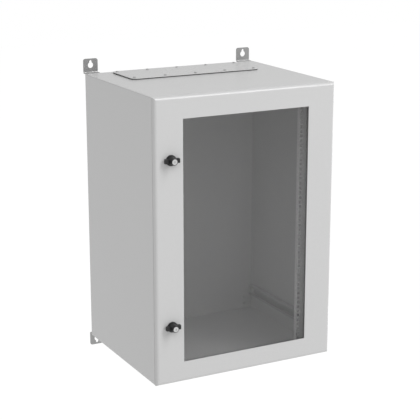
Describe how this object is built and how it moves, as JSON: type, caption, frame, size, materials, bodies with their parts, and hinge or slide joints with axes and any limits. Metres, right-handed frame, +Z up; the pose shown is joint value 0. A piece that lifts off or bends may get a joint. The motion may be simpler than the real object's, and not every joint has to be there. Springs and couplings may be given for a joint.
{
  "type": "wall-mount data cabinet",
  "caption": "Light grey sheet-metal wall cabinet for 19-inch equipment, with a glazed hinged door, quarter-turn locks, a cable entry plate on the roof and keyhole wall brackets.",
  "frame": {"origin": "midway between the wide ends of the two upper wall keyholes, on the wall plane that the brackets' backs touch", "axes": "+X to the right seen from the front, the door faces -Y and the wall is at +Y, +Z up"},
  "size_m": [0.6, 0.5436, 0.946],
  "materials": {
    "body_paint": "light grey powder coat, fine texture",
    "bracket_zinc": "zinc plated plate",
    "cam_steel": "zinc plated cam",
    "door_paint": "light grey powder coat, fine texture",
    "fastener_steel": "zinc plated fasteners",
    "foam_seal": "foamed polyurethane seal",
    "gland_screw_steel": "zinc plated screws",
    "hinge_metal": "die-cast hinge metal, grey",
    "lock_metal": "satin die-cast key insert",
    "lock_plastic": "black moulded plastic",
    "pane": "smoked safety glass",
    "pin_steel": "steel pins",
    "plate_paint": "light grey powder coat",
    "profile_zinc": "zinc plated sheet",
    "rail_paint": "light grey powder coat, as the body they are welded to",
    "rubber_seal": "black rubber seal",
    "strip_zinc": "zinc plated sheet"
  },
  "bodies": {
    "cabinet": {"body_earth_nut": "fastener_steel", "body_earth_stud": "fastener_steel", "body_shell": "body_paint", "bracket_lower_left": "bracket_zinc", "bracket_lower_right": "bracket_zinc", "bracket_nuts": "fastener_steel", "bracket_screws": "fastener_steel", "bracket_upper_left": "bracket_zinc", "bracket_upper_right": "bracket_zinc", "hinge_arm_lower": "hinge_metal", "hinge_arm_upper": "hinge_metal", "hinge_screws": "fastener_steel", "profile_left": "profile_zinc", "profile_nuts": "fastener_steel", "profile_right": "profile_zinc", "profile_screws": "fastener_steel", "rail_left_bottom": "rail_paint", "rail_left_top": "rail_paint", "rail_right_bottom": "rail_paint", "rail_right_top": "rail_paint", "top_gland_plate": "plate_paint", "top_gland_screws": "gland_screw_steel", "top_gland_seal": "rubber_seal"},
    "door": {"door_earth_nut": "fastener_steel", "door_earth_stud": "fastener_steel", "door_panel": "door_paint", "door_seal": "foam_seal", "hinge_leaf_lower": "hinge_metal", "hinge_leaf_upper": "hinge_metal", "hinge_nuts": "fastener_steel", "hinge_pins": "pin_steel", "hinge_studs": "fastener_steel", "lower_lock_bush": "lock_plastic", "lower_lock_nut": "fastener_steel", "upper_lock_bush": "lock_plastic", "upper_lock_nut": "fastener_steel", "window_nuts": "fastener_steel", "window_pane": "pane", "window_seal": "rubber_seal", "window_strip_bottom": "strip_zinc", "window_strip_left": "strip_zinc", "window_strip_right": "strip_zinc", "window_strip_top": "strip_zinc", "window_studs": "fastener_steel"},
    "upper_lock": {"upper_cam_screw": "fastener_steel", "upper_lock_cam": "cam_steel", "upper_lock_core": "lock_metal", "upper_lock_knob": "lock_plastic"},
    "lower_lock": {"lower_cam_screw": "fastener_steel", "lower_lock_cam": "cam_steel", "lower_lock_core": "lock_metal", "lower_lock_knob": "lock_plastic"}
  },
  "joints": [
    {"name": "door_hinge", "type": "hinge", "parent": "cabinet", "child": "door", "pos_m": [0.294, -0.511, -0.4525], "axis": [0, 0, 1], "range_deg": [0, 120]},
    {"name": "upper_lock_turn", "type": "hinge", "parent": "door", "child": "upper_lock", "pos_m": [-0.248, -0.517, -0.2045], "axis": [0, -1, 0], "range_deg": [0, 90]},
    {"name": "lower_lock_turn", "type": "hinge", "parent": "door", "child": "lower_lock", "pos_m": [-0.248, -0.517, -0.7035], "axis": [0, -1, 0], "range_deg": [0, 90]}
  ]
}
